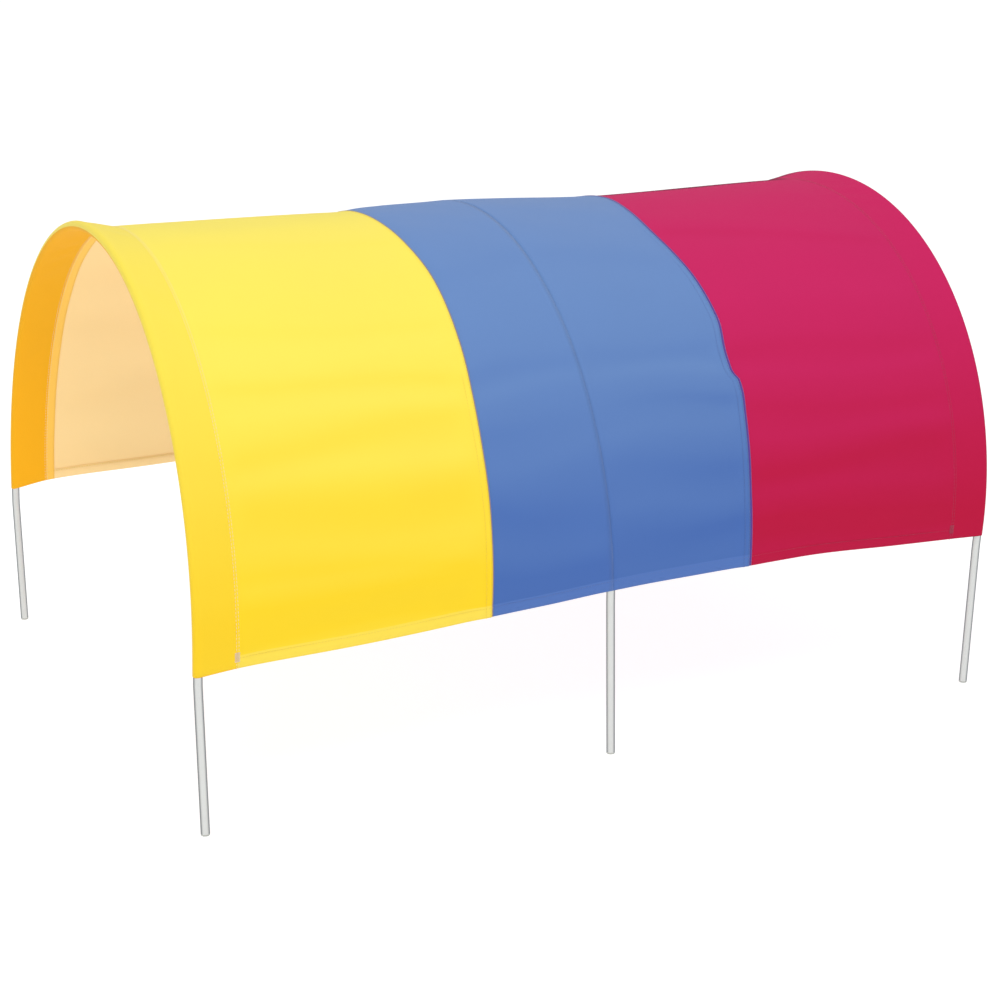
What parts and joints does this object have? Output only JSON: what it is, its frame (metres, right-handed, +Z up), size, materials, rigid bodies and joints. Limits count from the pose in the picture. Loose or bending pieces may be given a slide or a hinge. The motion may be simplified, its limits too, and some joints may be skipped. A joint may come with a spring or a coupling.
{
  "type": "agility tunnel",
  "caption": "Open-bottomed arch tunnel of sewn cloth on bent tube hoops, with push-in legs, for pets to run through.",
  "frame": {"origin": "on the ground, at the middle of the tunnel's length and width, under the cover", "axes": "+X along the tunnel from the yellow end to the magenta end, +Y across the tunnel, +Z up"},
  "size_m": [0.9516, 0.7112, 0.5415],
  "materials": {
    "tube_steel": "bright zinc-plated bent tube",
    "pin_steel": "plain steel rod",
    "foot_plug": "light grey moulded nylon",
    "cloth_yellow": "coated woven polyester, pale peach inner face",
    "cloth_blue": "coated woven polyester, pale inner face",
    "cloth_magenta": "coated woven polyester, pale inner face"
  },
  "bodies": {
    "yellow_hoop": {"yellow_crown_tube": "tube_steel", "yellow_foot_plug_far": "foot_plug", "yellow_foot_plug_near": "foot_plug", "yellow_joint_pin_far": "pin_steel", "yellow_joint_pin_near": "pin_steel", "yellow_leg_tube_far": "tube_steel", "yellow_leg_tube_near": "tube_steel", "yellow_panel": "cloth_yellow", "yellow_pole_sleeve": "cloth_yellow"},
    "middle_hoop": {"blue_panel": "cloth_blue", "blue_pole_pocket": "cloth_blue", "middle_crown_tube": "tube_steel", "middle_foot_plug_far": "foot_plug", "middle_foot_plug_near": "foot_plug", "middle_joint_pin_far": "pin_steel", "middle_joint_pin_near": "pin_steel", "middle_leg_tube_far": "tube_steel", "middle_leg_tube_near": "tube_steel"},
    "magenta_hoop": {"magenta_crown_tube": "tube_steel", "magenta_foot_plug_far": "foot_plug", "magenta_foot_plug_near": "foot_plug", "magenta_joint_pin_far": "pin_steel", "magenta_joint_pin_near": "pin_steel", "magenta_leg_tube_far": "tube_steel", "magenta_leg_tube_near": "tube_steel", "magenta_panel": "cloth_magenta", "magenta_pole_sleeve": "cloth_magenta"}
  },
  "joints": [
    {"name": "yellow_bay_gather", "type": "slide", "parent": "yellow_hoop", "child": "middle_hoop", "axis": [-1, 0, 0], "range_m": [0, 0.22], "deforming": ["yellow_panel", "blue_panel"]},
    {"name": "magenta_bay_gather", "type": "slide", "parent": "middle_hoop", "child": "magenta_hoop", "axis": [-1, 0, 0], "range_m": [0, 0.25], "deforming": ["blue_panel", "magenta_panel"]}
  ]
}
